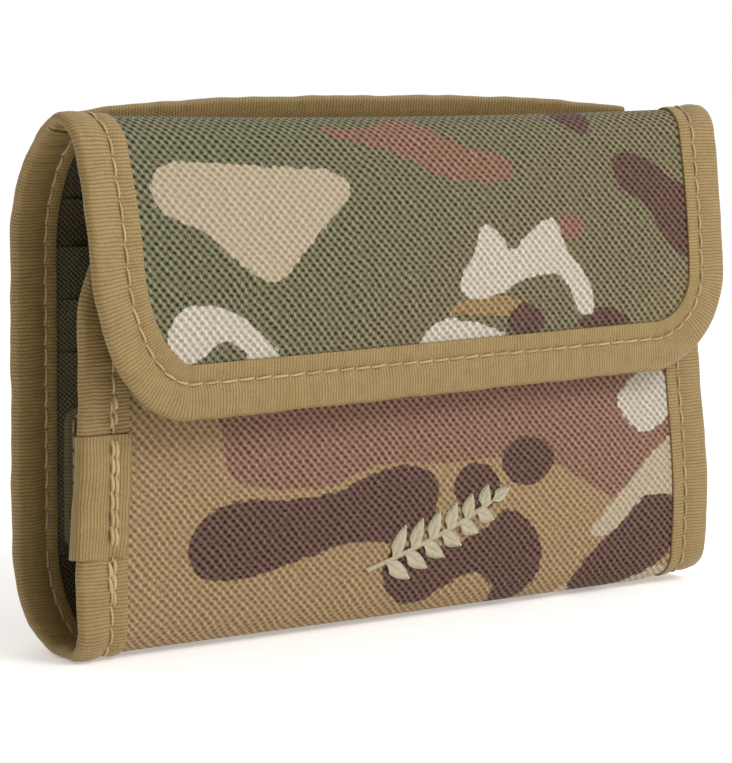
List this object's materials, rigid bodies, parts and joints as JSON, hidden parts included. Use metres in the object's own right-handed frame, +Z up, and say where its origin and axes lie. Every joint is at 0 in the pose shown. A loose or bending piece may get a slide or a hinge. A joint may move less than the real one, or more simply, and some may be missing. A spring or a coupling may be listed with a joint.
{
  "type": "trifold wallet",
  "caption": "Trifold wallet of camouflage oxford fabric bound in ribbed tape, with a closing flap, card slots, note pockets and a zipped coin pocket.",
  "frame": {"origin": "under the middle of the closed wallet, on the surface it stands on", "axes": "+X across the wallet to the right as seen from the front, -Y out of the front where the flap hangs, +Z up from the bottom fold to the top fold"},
  "size_m": [0.1418, 0.0283, 0.0919],
  "materials": {
    "camo_fabric": "matte oxford weave, printed camouflage",
    "binding_tape": "ribbed grosgrain with a soft sheen",
    "lining_fabric": "fine plain weave, dark printed camouflage",
    "slot_fabric": "fine plain weave",
    "hook_tape": "stiff hooks",
    "loop_tape": "brushed loops",
    "embroidery_thread": "satin stitch thread",
    "zip_tape": "herringbone woven tape",
    "zip_teeth": "moulded teeth",
    "zip_metal": "antique",
    "window_film": "clear film"
  },
  "bodies": {
    "back_panel": {"back_shell": "camo_fabric", "note_divider": "lining_fabric", "back_binding_left": "binding_tape", "back_binding_right": "binding_tape", "card_slot_1": "slot_fabric", "card_slot_2": "slot_fabric", "card_slot_3": "slot_fabric", "window_frame": "slot_fabric", "window_film": "window_film", "back_pocket": "camo_fabric", "back_pocket_binding": "binding_tape"},
    "top_spine": {"top_spine_shell": "camo_fabric", "top_spine_lining": "lining_fabric", "top_spine_binding_left": "binding_tape", "top_spine_binding_right": "binding_tape"},
    "flap": {"flap_shell": "camo_fabric", "flap_lining": "lining_fabric", "flap_binding": "binding_tape", "hook_patch": "hook_tape"},
    "bottom_spine": {"bottom_spine_shell": "camo_fabric", "bottom_spine_lining": "lining_fabric", "bottom_spine_binding_left": "binding_tape", "bottom_spine_binding_right": "binding_tape"},
    "front_panel": {"front_shell": "camo_fabric", "front_lining": "lining_fabric", "front_binding_left": "binding_tape", "front_binding_right": "binding_tape", "front_binding_top": "binding_tape", "binding_join_cover": "binding_tape", "loop_patch": "loop_tape", "embroidered_sprig": "embroidery_thread", "coin_pocket_upper": "slot_fabric", "coin_pocket_lower": "slot_fabric", "zip_tape_upper": "zip_tape", "zip_tape_lower": "zip_tape", "zip_teeth_upper": "zip_teeth", "zip_teeth_lower": "zip_teeth", "zip_stop_left": "zip_metal", "zip_stop_right": "zip_metal"},
    "zip_slider": {"zip_slider": "zip_metal"},
    "zip_pull": {"zip_pull": "zip_metal"}
  },
  "joints": [
    {"name": "top_spine_fold", "type": "hinge", "parent": "back_panel", "child": "top_spine", "pos_m": [0, 0.0038, 0.0858], "axis": [-1, 0, 0], "range_deg": [0, 90]},
    {"name": "flap_fold", "type": "hinge", "parent": "top_spine", "child": "flap", "pos_m": [0, -0.0081, 0.09], "axis": [-1, 0, 0], "range_deg": [0, 90]},
    {"name": "bottom_spine_fold", "type": "hinge", "parent": "back_panel", "child": "bottom_spine", "pos_m": [0, 0.0066, 0.0034], "axis": [1, 0, 0], "range_deg": [0, 90]},
    {"name": "front_panel_fold", "type": "hinge", "parent": "bottom_spine", "child": "front_panel", "pos_m": [0, -0.0086, 0.0022], "axis": [1, 0, 0], "range_deg": [0, 90]},
    {"name": "zip_slide", "type": "slide", "parent": "front_panel", "child": "zip_slider", "axis": [1, 0, 0], "range_m": [0, 0.094]},
    {"name": "zip_pull_lift", "type": "hinge", "parent": "zip_slider", "child": "zip_pull", "pos_m": [-0.05, -0.0042, 0.019], "axis": [0, 0, 1], "range_deg": [0, 30]}
  ]
}
